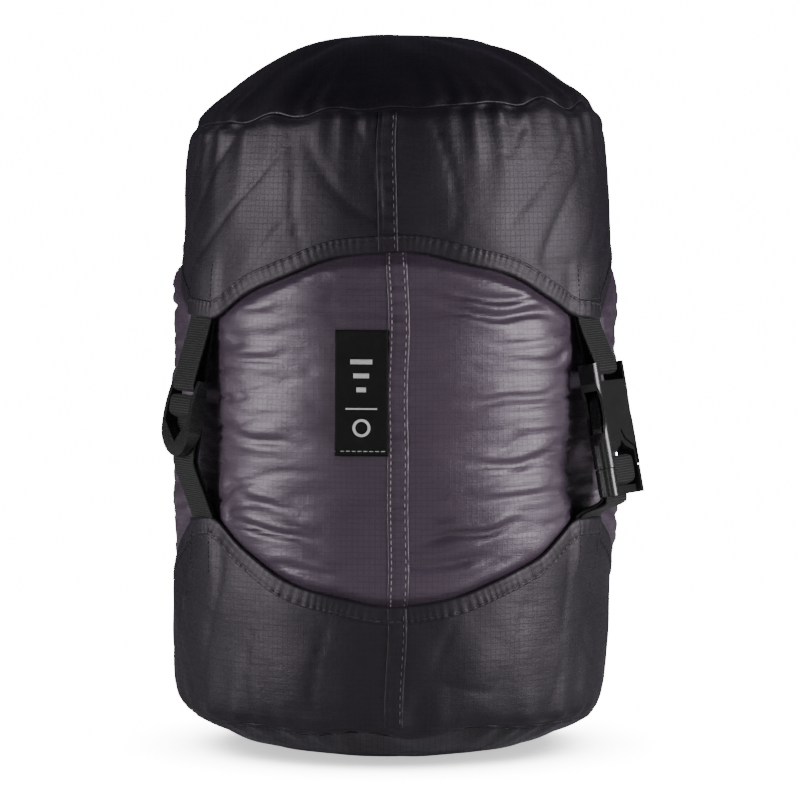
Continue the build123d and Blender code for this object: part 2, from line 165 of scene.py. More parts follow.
# ---------------------------------------------------------------- materials
class Graph:
    """Short hand for one material's node tree."""

    def __init__(self, name):
        self.material = bpy.data.materials.new(name)
        self.material.use_nodes = True
        self.nodes = self.material.node_tree.nodes
        self.links = self.material.node_tree.links
        self.shader = self.nodes["Principled BSDF"]

    def put(self, socket, value):
        if isinstance(value, bpy.types.NodeSocket):
            self.links.new(value, socket)
        else:
            socket.default_value = value

    def node(self, kind, inputs=None, **settings):
        made = self.nodes.new(kind)
        for key, value in settings.items():
            setattr(made, key, value)
        for key, value in (inputs or {}).items():
            self.put(made.inputs[key], value)
        return made

    def set(self, **values):
        for key, value in values.items():
            self.put(self.shader.inputs[key.replace("_", " ")], value)

    def cloth(self):
        """Place along and up the cloth, in metres; its two parts follow it."""
        place = self.node("ShaderNodeUVMap", uv_map="cloth").outputs["UV"]
        parts = self.node("ShaderNodeSeparateXYZ", {"Vector": place}).outputs
        return place, parts["X"], parts["Y"]

    def place(self):
        return self.node("ShaderNodeTexCoord").outputs["Object"]

    def math(self, operation, a, b=0.0):
        return self.node("ShaderNodeMath", {0: a, 1: b}, operation=operation).outputs[0]

    def wave(self, way, pitch):
        return self.math("SINE", self.math("MULTIPLY", way, tau / pitch))

    def noise(self, vector, scale, detail=3.0, rough=0.55):
        """Noise with one scale, or with a scale for each axis."""
        if isinstance(scale, tuple):
            mapping = self.node("ShaderNodeMapping", {"Vector": vector, "Scale": scale})
            vector, scale = mapping.outputs["Vector"], 1.0
        inputs = {"Vector": vector, "Scale": scale, "Detail": detail, "Roughness": rough}
        return self.node("ShaderNodeTexNoise", inputs).outputs["Fac"]

    def ramp(self, value, low, high, out_low=0.0, out_high=1.0):
        inputs = {"Value": value, "From Min": low, "From Max": high,
                  "To Min": out_low, "To Max": out_high}
        return self.node("ShaderNodeMapRange", inputs).outputs["Result"]

    def mix(self, factor, a, b):
        return self.node("ShaderNodeMix", {0: factor, 6: a, 7: b}, data_type="RGBA").outputs[2]

    def bumps(self, *layers):
        """One bump on top of another, each given as height, distance and strength."""
        normal = None
        for height, distance, strength in layers:
            inputs = {"Height": height, "Distance": distance, "Strength": strength}
            if normal is not None:
                inputs["Normal"] = normal
            normal = self.node("ShaderNodeBump", inputs).outputs["Normal"]
        return normal


def grey(value, tint=(1.0, 1.0, 1.0)):
    return (value * tint[0], value * tint[1], value * tint[2], 1)


def ripstop(name, base, light, tint, gloss, specular):
    """Coated ripstop nylon: fine weave, a grid of thicker threads, crinkles and a soft gloss."""
    grid, line, yarn = 2.6 * MM, 0.3 * MM, 0.42 * MM
    g = Graph(name)
    cloth, x, y = g.cloth()
    lines = [g.ramp(g.math("PINGPONG", way, grid / 2), line * 0.4, line, 1.0, 0.0)
             for way in (x, y)]
    threads = g.math("MAXIMUM", *lines)
    weave = g.math("MULTIPLY", g.wave(x, yarn), g.wave(y, yarn))
    cloudy = g.noise(cloth, (14, 22, 1), 4.0)
    crinkle = g.noise(cloth, (70, 210, 1), 5.0, 0.62)
    worn = g.noise(cloth, 900, 2.0)
    fine_crinkle = g.noise(cloth, (1500, 1100, 1), 4.0, 0.7)
    ruffle = g.noise(cloth, (170, 260, 1), 4.0, 0.6)
    colour = g.mix(g.ramp(cloudy, 0.3, 0.7), grey(base, tint), grey(light, tint))
    colour = g.mix(g.math("MULTIPLY", threads, 0.32), colour, grey(base * 0.4, tint))
    colour = g.mix(g.ramp(worn, 0.62, 0.8, 0.0, 0.12), colour, grey(light * 2.0, tint))
    # painted shade: darker in the dips of the fine crinkle that also bumps the cloth
    colour = g.mix(g.ramp(fine_crinkle, 0.3, 0.7, 0.35, 0.0), colour, grey(base * 0.35, tint))
    normal = g.bumps((crinkle, 0.5 * MM, 0.6), (ruffle, 0.3 * MM, 0.5), (fine_crinkle, 0.05 * MM, 0.5),
                     (threads, 0.05 * MM, 0.35), (weave, 0.02 * MM, 0.5))
    unevenness = g.math("ADD", cloudy, g.math("MULTIPLY", threads, 0.3))
    g.set(Base_Color=colour, Normal=normal,
          Roughness=g.ramp(unevenness, 0.3, 1.0, gloss - 0.05, gloss + 0.12),
          Sheen_Weight=0.03, Sheen_Roughness=0.45, Sheen_Tint=grey(0.85, tint),
          Specular_IOR_Level=specular, Specular_Tint=grey(1.0, (1.0, 0.88, 1.0)))
    return g.material


def webbing_material(name, base):
    """Ribbed nylon webbing: the ribs are geometry; the yarns, the lint, and a painted highlight on
    the rib crests with painted shade between them are here.
    """
    g = Graph(name)
    cloth, x, y = g.cloth()
    yarn, rib = g.wave(x, 1.25 * MM), g.wave(y, WEB_RIB)
    fuzz = g.noise(cloth, (1500, 4200, 1))
    patchy = g.noise(cloth, 160)
    # painted highlight and shade: lighter on the rib crests, darker in the troughs between them
    colour = g.mix(g.ramp(rib, -0.2, 1.0), grey(base * 0.4), grey(base * 6.0, (1.0, 0.96, 1.06)))
    colour = g.mix(g.ramp(fuzz, 0.55, 0.8, 0.0, 0.5), colour, grey(base * 3.4, (1.0, 0.95, 1.0)))
    colour = g.mix(g.ramp(patchy, 0.4, 0.75, 0.0, 0.3), colour, grey(base * 0.6))
    normal = g.bumps((g.math("MULTIPLY", yarn, rib), 0.12 * MM, 0.6), (fuzz, 0.08 * MM, 0.6))
    g.set(Base_Color=colour, Roughness=g.ramp(fuzz, 0.3, 0.7, 0.5, 0.75), Normal=normal,
          Sheen_Weight=0.06, Sheen_Roughness=0.5, Specular_IOR_Level=0.3)
    return g.material


def plastic(name, base):
    """Moulded acetal: fine spark-eroded grain; sharp edges a little glossier and painted lighter as
    a painted highlight.
    """
    g = Graph(name)
    place = g.place()
    grain = g.noise(place, 2600, 3.0, 0.6)
    broad = g.noise(place, 120)
    edge = g.ramp(g.node("ShaderNodeNewGeometry").outputs["Pointiness"], 0.52, 0.6)
    colour = g.mix(g.ramp(broad, 0.3, 0.7), grey(base), grey(base * 1.5, (1.0, 0.98, 1.04)))
    # painted highlight: sharp edges painted lighter
    colour = g.mix(g.math("MULTIPLY", edge, 0.5), colour, grey(base * 3.0))
    rough = g.math("SUBTRACT", g.ramp(grain, 0.3, 0.7, 0.28, 0.42), g.math("MULTIPLY", edge, 0.08))
    g.set(Base_Color=colour, Roughness=rough, Normal=g.bumps((grain, 0.05 * MM, 0.5)),
          Specular_IOR_Level=0.7)
    return g.material


def thread_material(name, base, tint):
    """Twisted sewing thread."""
    g = Graph(name)
    place = g.place()
    settings = {"Vector": place, "Scale": 900.0, "Distortion": 1.5}
    twist = g.node("ShaderNodeTexWave", settings).outputs["Fac"]
    fibre = g.noise(place, 3000, 2.0)
    colour = g.mix(twist, grey(base * 0.65, tint), grey(base * 1.25, tint))
    colour = g.mix(g.ramp(fibre, 0.4, 0.8, 0.0, 0.3), colour, grey(base * 1.8, tint))
    g.set(Base_Color=colour, Roughness=0.6, Normal=g.bumps((twist, 0.06 * MM, 0.7)),
          Sheen_Weight=0.2)
    return g.material


def satin_label(name, base):
    """Tight satin weave of a printed label."""
    g = Graph(name)
    cloth, x, y = g.cloth()
    weave = g.math("MULTIPLY", g.wave(x, 0.3 * MM), g.wave(y, 0.5 * MM))
    slub = g.noise(cloth, (300, 2600, 1))
    colour = g.mix(g.ramp(slub, 0.35, 0.7), grey(base), grey(base * 1.7, (1, 0.98, 1.05)))
    g.set(Base_Color=colour, Roughness=g.ramp(slub, 0.3, 0.7, 0.45, 0.62),
          Normal=g.bumps((weave, 0.05 * MM, 0.7)), Sheen_Weight=0.02, Specular_IOR_Level=0.12)
    return g.material


def metal(name):
    """Bright spring wire, scratched along its length."""
    g = Graph(name)
    scratch = g.noise(g.place(), (500, 500, 3000))
    g.set(Base_Color=g.mix(scratch, grey(0.5), grey(0.62)), Metallic=1.0,
          Roughness=g.ramp(scratch, 0.3, 0.7, 0.22, 0.36),
          Normal=g.bumps((scratch, 0.02 * MM, 0.3)))
    return g.material


def contents_material(name):
    """Knitted clothing inside the sack."""
    g = Graph(name)
    place = g.place()
    settings = {"Vector": place, "Scale": 260.0, "Distortion": 2.5, "Detail": 2.0}
    knit = g.node("ShaderNodeTexWave", settings).outputs["Fac"]
    patchy = g.noise(place, 30)
    colour = g.mix(g.ramp(patchy, 0.35, 0.65), grey(0.16, (0.9, 1.0, 1.15)),
                   grey(0.28, (1.0, 0.98, 0.95)))
    colour = g.mix(g.math("MULTIPLY", knit, 0.4), colour, grey(0.1))
    g.set(Base_Color=colour, Roughness=0.9, Normal=g.bumps((knit, 0.6 * MM, 0.6)),
          Sheen_Weight=0.3)
    return g.material


WARM = (1.24, 0.87, 1.32)
COOL = (1.06, 0.93, 1.42)
MATERIALS = {}


def make_materials():
    MATERIALS.update(
        body=ripstop("body_ripstop", 0.044, 0.06, WARM, 0.36, 0.65),
        cap=ripstop("cap_ripstop", 0.0052, 0.0085, COOL, 0.5, 0.5),
        web=webbing_material("webbing_black", 0.0055),
        plastic=plastic("moulded_black", 0.009),
        polished=plastic("moulded_smooth", 0.008),
        dark_thread=thread_material("thread_dark", 0.008, COOL),
        seam_thread=thread_material("thread_seam", 0.07, WARM),
        light_thread=thread_material("thread_light", 0.2, (1.15, 0.9, 1.05)),
        white_thread=thread_material("thread_white", 0.55, (1, 1, 1)),
        label=satin_label("label_satin", 0.003),
        print=thread_material("label_print", 0.6, (1, 1, 1.02)),
        metal=metal("spring_wire"),
        contents=contents_material("packed_clothing"),
    )


# ---------------------------------------------------------------- shape functions
def periodic_noise(phi, z, seed, turns, wavelengths, count):
    """Smooth noise on the cylinder: whole numbers of waves around, free ones upwards."""
    local = np.random.default_rng(seed)
    total = 0.0
    for _ in range(count):
        around = local.integers(turns[0], turns[1] + 1) * local.choice((-1, 1))
        upward = tau / local.uniform(*wavelengths) * local.choice((-1, 1))
        total = total + np.cos(around * phi + upward * z + local.uniform(0, tau))
    return total / np.sqrt(count / 2)


def ring_noise(phi, seed, turns, count):
    """Noise that varies with the angle only."""
    return periodic_noise(phi, 0 * phi, seed, turns, (1, 2), count)


def seam_wobble(z, seed):
    """How far a vertical seam strays to the side at each height."""
    return 0.5 * MM * periodic_noise(0 * z, z, seed, (1, 1), (40 * MM, 120 * MM), 4)


def smooth_profile(points):
    """A smooth radius for each height, through a few points in millimetres, with no overshoot."""
    heights = np.array([p[0] for p in points]) * MM
    radii = np.array([p[1] for p in points]) * MM
    steps = np.diff(heights)
    slopes = np.diff(radii) / steps
    tangents = np.concatenate([[slopes[0]], np.zeros(len(slopes) - 1), [slopes[-1]]])
    for i in range(1, len(slopes)):
        if slopes[i - 1] * slopes[i] > 0:
            tangents[i] = 2 * slopes[i - 1] * slopes[i] / (slopes[i - 1] + slopes[i])

    def radius(z):
        i = np.clip(np.searchsorted(heights, z) - 1, 0, len(slopes) - 1)
        t = np.clip((z - heights[i]) / steps[i], 0, 1)
        a = (1 + 2 * t) * (1 - t) ** 2 * radii[i] + t * (1 - t) ** 2 * steps[i] * tangents[i]
        return a + t * t * (3 - 2 * t) * radii[i + 1] + t * t * (t - 1) * steps[i] * tangents[i + 1]

    return radius


def from_strap(phi):
    """Signed angle to the nearest strap."""
    return (phi - STRAPS["back"] + pi / 3) % (2 * pi / 3) - pi / 3


def strap_distance(phi):
    """Distance along the cloth to the middle of the nearest strap."""
    return np.abs(from_strap(phi)) * HEM_RADIUS


def bell(distance, width):
    return np.exp(-(distance / width) ** 2)


def soft_step(value, start, end):
    t = np.clip((value - start) / (end - start), 0, 1)
    return t * t * (3 - 2 * t)


def hem_height(phi, apex, tip):
    reach = HEM_RADIUS * pi / 3 - TONGUE_HALF
    across = np.clip((HEM_RADIUS * (pi / 3 - np.abs(from_strap(phi)))) / reach, 0, 1)
    return apex + (tip - apex) * across ** ARCH_POWER


class Hem:
    """A cap's lower or upper edge, with its corners rounded and a few small waves."""

    SAMPLES = 2880
    ROUNDED = 12          # samples on each side that take part in rounding a corner

    def __init__(self, apex, tip, seed):
        self.side = 1 if tip > apex else -1
        self.phi = np.linspace(-pi, pi, self.SAMPLES + 1)[:-1]
        height = hem_height(self.phi, apex, tip)
        near = np.arange(-self.ROUNDED, self.ROUNDED + 1)
        kernel = bell(near * HEM_RADIUS * tau / self.SAMPLES, 2.0 * MM)
        joined = np.concatenate([height[-self.ROUNDED:], height, height[:self.ROUNDED]])
        rounded = np.convolve(joined, kernel / kernel.sum(), "valid")
        self.height = rounded + 0.5 * MM * ring_noise(self.phi, seed, (3, 17), 8)

    def z(self, phi):
        return np.interp(phi, self.phi, self.height, period=tau)

    def inward(self, phi, distance):
        """Angle and height of the point at a distance from the edge, into the cap."""
        step = 1e-3
        slope = (self.z(phi + step) - self.z(phi - step)) / (2 * step * HEM_RADIUS)
        size = np.sqrt(1 + slope ** 2)
        angle = phi + self.side * slope / size * distance / HEM_RADIUS
        return angle, self.z(phi) - self.side * distance / size


def seam_height(phi):
    lean = SEAM_LEAN * np.cos(phi) - SEAM_TIP * np.sin(phi) - 1.6 * MM
    return SEAM_Z + lean + 0.9 * MM * ring_noise(phi, 11, (4, 23), 10)


def base_height(phi):
    return BASE_SEAM_Z + 0.7 * MM * ring_noise(phi, 12, (2, 15), 10)


def puffs(phi, away, seed, count, fade, middle=0.45):
    """Rounded puffs between narrow pinches, as cloth eased into a seam makes, fading from it."""
    wander = 0.9 * ring_noise(phi, seed, (2, 9), 6)
    gathers = 1 - np.abs(np.cos(count * phi / 2 + wander)) ** 1.5
    return (gathers - middle) * np.exp(-away / fade) * soft_step(away, 0, 3 * MM)


# The two caps. seed counts on from the first number of its noises. Pairs and triples are, in
# order: strength, mean and spread and most waves around; puff, height, count and fade; pinch,
# depth and width; fold, height and slant; pull, depth, slant and most waves around; ripple,
# height, most waves around and its wavelengths; tension, height and fade; lean, height and the
# distances from the tongue's tip where it starts and ends.
LID = SimpleNamespace(
    name="lid", body="lid", hem=Hem(LID_ARCH_Z, LID_TIP_Z, 3), tip=LID_TIP_Z, seam=seam_height,
    profile=smooth_profile([(195, 101.2), (215, 100.6), (240, 99.4), (262, 98.2), (280, 96.0),
                            (292, 93.4), (306, 89)]),
    seed=20, middle=0.25, strength=(1.1, 0.7, 11), puff=(1.9 * MM, 46, 13 * MM),
    pinch=(2.0 * MM, 3.2 * MM), fold=(0.45 * MM, 4), pull=(0.95 * MM, 6, 16), mirrored=True,
    ripple=(0.16 * MM, 34, (25 * MM, 90 * MM)), tension=(0.9 * MM, 45 * MM), hug=1.2 * MM,
    lean=(1.1 * MM, 10 * MM, 36 * MM))
BOTTOM = SimpleNamespace(
    name="bottom", body="sack", hem=Hem(BOTTOM_ARCH_Z, BOTTOM_TIP_Z, 4), tip=BOTTOM_TIP_Z,
    seam=base_height,
    profile=smooth_profile([(10, 94.5), (18, 97.4), (32, 100.2), (52, 101.2), (75, 101.2),
                            (114, 101.2)]),
    seed=40, middle=0.06, strength=(0.9, 0.6, 9), puff=(1.6 * MM, 38, 12 * MM),
    pinch=(1.5 * MM, 3.0 * MM), fold=(0.4 * MM, -3), pull=(0.7 * MM, -4, 13), mirrored=False,
    ripple=(0.14 * MM, 32, (22 * MM, 80 * MM)), tension=(0.8 * MM, 40 * MM), hug=0.9 * MM,
    lean=(-2.0 * MM, 12 * MM, 40 * MM))


def cap_radius(cap, phi, z):
    """How far out a cap's cloth stands, with its puffs, folds, tongues and tension."""
    inside, from_seam = cap.hem.side * (cap.tip - z), cap.hem.side * (z - cap.seam(phi))
    from_hem = cap.hem.side * (cap.hem.z(phi) - z)
    strap = strap_distance(phi)
    mean, spread, waves = cap.strength
    strength = mean + spread * ring_noise(phi, cap.seed + 1, (2, waves), 6)
    height, count, fade = cap.puff
    out = cap.profile(z) + height * strength * puffs(phi, from_seam, cap.seed + 2, count, fade)
    depth, width = cap.pinch
    out = out - depth * bell(from_seam, width)
    height, slant = cap.fold
    turned = phi + slant * (z - cap.middle)
    out = out + height * periodic_noise(turned, z, cap.seed + 3, (3, 12), (60 * MM, 200 * MM), 16)
    depth, slant, waves = cap.pull
    slant = slant * np.sign(np.sin(3 * phi)) if cap.mirrored else slant
    start = 4 if cap.mirrored else 3
    turned = phi + slant * (z - cap.middle)
    pulls = periodic_noise(turned, z, cap.seed + 5, (start, waves), (90 * MM, 240 * MM), 14)
    open_cloth = soft_step(from_seam, 2 * MM, 12 * MM) * soft_step(from_hem, 4 * MM, 20 * MM)
    out = out - depth * np.exp(-np.abs(pulls) / 0.24) * open_cloth
    height, waves, lengths = cap.ripple
    out = out + height * periodic_noise(phi, z, cap.seed + 4, (10, waves), lengths, 16)
    height, fade = cap.tension
    wave = 5.5 * MM + 9 * MM * np.clip(inside / (70 * MM), 0, 2)
    tension = height * np.cos(strap / wave) * bell(strap, 30 * MM)
    out = out + tension * np.exp(-np.clip(inside, 0, 1) / fade)
    on_tongue = 1 - soft_step(strap, 10.5 * MM, 15 * MM)
    out = out + 1.3 * MM * on_tongue * (1 - soft_step(inside, 18 * MM, 34 * MM))
    out = out - cap.hug * bell(from_hem, 7 * MM) * soft_step(strap, 14 * MM, 40 * MM)
    height, start, end = cap.lean
    return out + height * np.cos(phi) * soft_step(inside, start, end)


def lid_radius(phi, z):
    return cap_radius(LID, phi, z)


def bottom_radius(phi, z):
    return cap_radius(BOTTOM, phi, z)


BODY_PROFILE = smooth_profile([(15, 96.0), (40, 99.4), (75, 100.3), (150, 101.2), (235, 100.0),
                               (262, 98.5)])


def creases(phi, z, seed, tall, sharp):
    """Narrow valleys that run mostly round the sack, between smooth rolls."""
    wave = periodic_noise(phi, z, seed, (1, 8), (tall, 2 * tall), 12)
    return 0.35 - np.exp(-np.abs(wave) / sharp)


# the deepest creases, in millimetres: where each starts and ends, along the cloth from the
# front and in height, and its depth
DEEP_CREASES = (
    (12, 207, 84, 203, 2.6), (22, 214, 70, 210, 1.6), (30, 231, 78, 214, 2.0),
    (8, 103, 60, 110, 2.4), (-88, 112, -34, 101, 2.4), (-80, 122, -46, 116, 1.5),
    (-60, 226, -34, 231, 1.6), (26, 164, 84, 168, 1.3), (-86, 150, -48, 146, 1.3),
    (-84, 182, -50, 186, 1.2), (30, 136, 82, 140, 1.5), (-70, 92, -20, 88, 1.6),
    (4, 92, 46, 96, 1.8), (40, 190, 84, 192, 1.2), (-84, 204, -52, 203, 1.1),
    (34, 120, 80, 124, 1.3),
)


def deep_creases(phi, z):
    """Long sharp folds where the lid squeezes the cloth: a valley with a roll above it."""
    x = phi * HEM_RADIUS
    wander = 0.8 * MM * periodic_noise(phi, z, 57, (6, 20), (40 * MM, 90 * MM), 8)
    total = 0.0
    for x0, z0, x1, z1, depth in DEEP_CREASES:
        part = (x / MM - x0) / (x1 - x0)
        line = (z0 + (z1 - z0) * np.clip(part, 0, 1) + 5 * (part - 0.5) ** 2) * MM
        off = z + wander - line
        length = soft_step(part, -0.05, 0.35) * (1 - soft_step(part, 0.7, 1.05))
        roll_above, roll_below = bell(off - 3.6 * MM, 2.8 * MM), bell(off + 4 * MM, 3 * MM)
        shape = 0.9 * roll_above - bell(off, 1.7 * MM) + 0.5 * roll_below
        total = total + 0.85 * depth * MM * length * shape
    return total


UNDER_CAP = 1.7 * MM      # how far the inner sack stays inside the caps
FREE_RISE = 6 * MM        # and how far past that it may rise clear of their hems


def body_radius(phi, z):
    strap = strap_distance(phi)
    near = np.exp(-np.clip(strap - 12 * MM, 0, 1) / (26 * MM))
    noise = periodic_noise(phi, z, 51, (1, 6), (40 * MM, 110 * MM), 8)
    local = 0.5 + 0.5 * np.tanh(1.5 * noise)
    rolls = (0.5 + 2.4 * near) * MM * local * creases(phi, z, 52, 17 * MM, 0.3)
    small = (0.3 + 1.0 * near) * MM * (1.3 - local) * creases(phi, z, 61, 9 * MM, 0.35)
    lumps = 0.4 * MM * periodic_noise(phi, z, 71, (1, 6), (25 * MM, 70 * MM), 14)
    front = (phi - FRONT + pi) % tau - pi
    deep = sum(share * deep_creases((front + turn + pi) % tau - pi, z)
               for turn, share in ((0, 1), (tau / 3, 0.5), (-tau / 3, 0.5)))
    between = 1.5 * MM * soft_step(strap, 14 * MM, 40 * MM)
    channel = -2.6 * MM * (1 - soft_step(strap, 11 * MM, 19 * MM))
    relief = (rolls + small + lumps + deep) * (1 - 0.75 * (strap < 11 * MM))
    show, limits = 0.85, []
    for cap in (LID, BOTTOM):
        past_hem = cap.hem.side * (cap.hem.z(phi) - z)
        show = show * (1 - soft_step(past_hem, -9 * MM, 2 * MM))
        clear = FREE_RISE * (1 - soft_step(past_hem, -8 * MM, 0))
        limits.append(cap_radius(cap, phi, z) - UNDER_CAP + clear)
    free = BODY_PROFILE(z) + relief * (0.15 + show) + between + channel
    return np.minimum(free, np.minimum(*limits))


# ---------------------------------------------------------------- mesh helpers
def new_object(name, vertices, faces, material, uv=None):
    mesh = bpy.data.meshes.new(name)
    mesh.from_pydata([tuple(v) for v in vertices], [], [tuple(f) for f in faces])
    if uv is not None:
        layer = mesh.uv_layers.new(name="cloth")
        index = np.empty(len(mesh.loops), dtype=np.int32)
        mesh.loops.foreach_get("vertex_index", index)
        layer.data.foreach_set("uv", np.asarray(uv, dtype=np.float32)[index].ravel())
    mesh.polygons.foreach_set("use_smooth", [True] * len(mesh.polygons))
    mesh.materials.append(MATERIALS[material])
    mesh.update()
    return link(bpy.data.objects.new(name, mesh))


def angles(count):
    return np.round(np.linspace(-pi, pi, count, endpoint=False), 6)


def polar(radius, phi, z):
    return (radius * cos(phi), radius * sin(phi), z)


def cylinder_points(phi, z, radius):
    return np.stack([radius * np.cos(phi), radius * np.sin(phi), z], -1)


def grid_faces(rows, columns, wrap=True):
    r, c = np.meshgrid(np.arange(rows - 1), np.arange(columns if wrap else columns - 1),
                       indexing="ij")
    a = r * columns + c
    b = r * columns + (c + 1) % columns
    return np.stack([a, b, b + columns, a + columns], -1).reshape(-1, 4)


def tube_faces(rows, columns):
    """A tube of rings with both its ends closed."""
    first = list(range(columns))
    ends = [first[::-1], [(rows - 1) * columns + i for i in first]]
    return grid_faces(rows, columns).tolist() + ends


def round_object(name, angle, z, radius, material, up=None, faces=None):
    """Cloth that runs round the sack, its weave laid out by angle and by up, or by height."""
    uv = np.stack([angle * HEM_RADIUS, z if up is None else up], -1).reshape(-1, 2)
    points = cylinder_points(angle, z, radius).reshape(-1, 3)
    faces = grid_faces(*angle.shape) if faces is None else faces
    return new_object(name, points, faces, material, uv)


def band_object(name, low, high, radius, rows, columns, material, crowd=1.0):
    """Cloth round the sack between two heights that vary with the angle."""
    angle, part = np.meshgrid(angles(columns), np.linspace(0, 1, rows) ** crowd)
    z = low(angle) * (1 - part) + high(angle) * part
    return round_object(name, angle, z, radius(angle, z), material)


def disc_object(name, angle, z, radius, centre_z, turn=1):
    """A round panel: rings closed by a point at the centre; turn is -1 where it faces down."""
    rings, columns = angle.shape
    points = np.vstack([cylinder_points(angle, z, radius).reshape(-1, 3), [[0, 0, centre_z]]])
    last, first = len(points) - 1, (rings - 1) * columns
    faces = grid_faces(rings, columns).tolist()
    faces += [(first + i, first + (i + 1) % columns, last) for i in range(columns)]
    return new_object(name, points, [f[::turn] for f in faces], "cap", points[:, :2])


def solidify(obj, thickness, offset=-1.0):
    made = obj.modifiers.new("cloth thickness", "SOLIDIFY")
    made.thickness = thickness
    made.offset = offset


def finish_piece(obj, body, nodes=()):
    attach(obj, body)
    if nodes:
        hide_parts(*nodes)


# ---------------------------------------------------------------- cloth simulation
FRAMES = 16
CLOTH = dict(pin_stiffness=40, quality=4, mass=0.12, tension_stiffness=12,
             compression_stiffness=12, shear_stiffness=4, bending_stiffness=0.06, air_damping=3,
             use_pressure=True)


def coordinates(mesh):
    points = np.empty(len(mesh.vertices) * 3)
    mesh.vertices.foreach_get("co", points)
    return points.reshape(-1, 3)


def drape(obj, rest, pinned, pressure, most):
    """Let cloth with this rest shape settle, held at its pinned points, moving at most so far."""
    mesh = obj.data
    start = coordinates(mesh)
    obj.shape_key_add(name="start")
    key = obj.shape_key_add(name="rest")
    key.data.foreach_set("co", rest.ravel())
    group = obj.vertex_groups.new(name="held")
    for weight in np.unique(np.round(pinned, 1)):
        if weight > 0:
            chosen = np.nonzero(np.abs(np.round(pinned, 1) - weight) < 1e-6)[0]
            group.add(chosen.tolist(), float(weight), "REPLACE")
    made = obj.modifiers.new("settle", "CLOTH")
    for key_name, value in CLOTH.items():
        setattr(made.settings, key_name, value)
    made.settings.rest_shape_key = key
    made.settings.vertex_group_mass = "held"
    made.settings.uniform_pressure_force = pressure
    made.settings.effector_weights.gravity = 0
    made.collision_settings.use_collision = False
    made.collision_settings.use_self_collision = False
    made.point_cache.frame_start, made.point_cache.frame_end = 1, FRAMES
    scene = bpy.context.scene
    for step in range(1, FRAMES + 1):
        scene.frame_set(step)
    settled = obj.evaluated_get(bpy.context.evaluated_depsgraph_get()).to_mesh()
    move = coordinates(settled) - start
    obj.modifiers.remove(made)
    obj.shape_key_clear()
    scene.frame_set(1)
    size = np.linalg.norm(move, axis=1, keepdims=True)
    move *= np.tanh(size / most) * most / np.maximum(size, 1e-9)
    mesh.vertices.foreach_set("co", (start + move).ravel())
    mesh.update()


# ---------------------------------------------------------------- cloth pieces
def make_side_panel():
    obj = band_object("side_panel_cloth", lambda angle: 30 * MM, lambda angle: 256 * MM,
                      body_radius, 136, 280, "body")
    start = coordinates(obj.data)
    phi, z = np.arctan2(start[:, 1], start[:, 0]), start[:, 2]
    inside = np.minimum(z - BOTTOM.hem.z(phi), LID.hem.z(phi) - z)
    free = soft_step(inside, 0, 5 * MM) * soft_step(strap_distance(phi), 10 * MM, 15 * MM)
    seam = bell((phi - FRONT) * HEM_RADIUS - 0.7 * MM, 6 * MM)
    rest = start * np.array([1.015, 1.015, 1.075])
    drape(obj, rest, np.maximum(1 - free, 0.6 * seam), 0.9, 4.5 * MM)
    finish_piece(obj, "sack", ["side_panel"])
    return obj


def make_cap_band(cap, low, high, crowd, seam_x, ease, upward, pressure, most):
    """A cap's band, eased into its round seam and held at its hem, tongues and front seam."""
    obj = band_object(f"{cap.name}_band_cloth", low, high,
                      lambda phi, z: cap_radius(cap, phi, z), 60, 300, "cap", crowd)
    start = coordinates(obj.data)
    phi, z = np.arctan2(start[:, 1], start[:, 0]), start[:, 2]
    from_hem, from_seam = cap.hem.side * (cap.hem.z(phi) - z), cap.hem.side * (z - cap.seam(phi))
    held = np.maximum(1 - soft_step(from_seam, 0, 2 * MM), 1 - soft_step(from_hem, MM, 8 * MM))
    on_tongue = 1 - soft_step(strap_distance(phi), 12 * MM, 20 * MM)
    inside = cap.hem.side * (cap.tip - z)
    held = np.maximum(held, on_tongue * (1 - soft_step(inside, 16 * MM, 40 * MM)))
    held = np.maximum(held, 0.6 * bell((phi - FRONT) * HEM_RADIUS + seam_x, 5 * MM))
    wider = 1.012 + ease * np.exp(-from_seam / (13 * MM))
    rest = start * np.stack([wider, wider, 0 * wider + upward], -1)
    drape(obj, rest, held, pressure, most)
    return obj


def make_lid_dome():
    """The round top panel, eased into the seam and domed over the neck."""
    angle, part = np.meshgrid(angles(260), np.linspace(0, 1, 46)[:-1] ** 1.25)
    edge_z = seam_height(angle)
    edge_r = lid_radius(angle, edge_z)
    rise = (SACK_HEIGHT - 0.4 * MM - edge_z) * (1 - (1 - part) ** 2.65)
    strength = 1.0 + 0.7 * ring_noise(angle, 81, (2, 11), 6)
    away = part * HEM_RADIUS
    puffed = 1.7 * MM * strength * puffs(angle, away, 82, 42, 10 * MM)
    folds = 0.7 * MM * periodic_noise(angle, away, 83, (2, 13), (50 * MM, 160 * MM), 12)
    folds = folds * soft_step(part, 0.02, 0.25) * (1 - part) ** 0.5
    bulge = 1.6 * MM * np.sin(pi * np.clip(part / 0.16, 0, 1)) * (part < 0.16)
    z = edge_z + rise + puffed * 0.75 + folds
    radius = (edge_r + puffed * 0.6 + bulge) * (1 - part)
    obj = disc_object("lid_dome_cloth", angle, z, radius, z[-1].mean() + 0.3 * MM)
    start = coordinates(obj.data)
    level = np.hypot(start[:, 0], start[:, 1])
    phi = np.arctan2(start[:, 1], start[:, 0])
    from_seam = np.clip(lid_radius(phi, seam_height(phi)) - level, 0, 1)
    crown = 0.5 * (1 - soft_step(level, 5 * MM, 30 * MM))
    held = np.maximum(1 - soft_step(from_seam, 0, 2 * MM), crown)
    wider = 1.01 + 0.07 * np.exp(-from_seam / (12 * MM))
    rest = start * np.stack([wider, wider, 0 * wider + 1], -1)
    drape(obj, rest, held, 0.7, 4.0 * MM)
    return obj


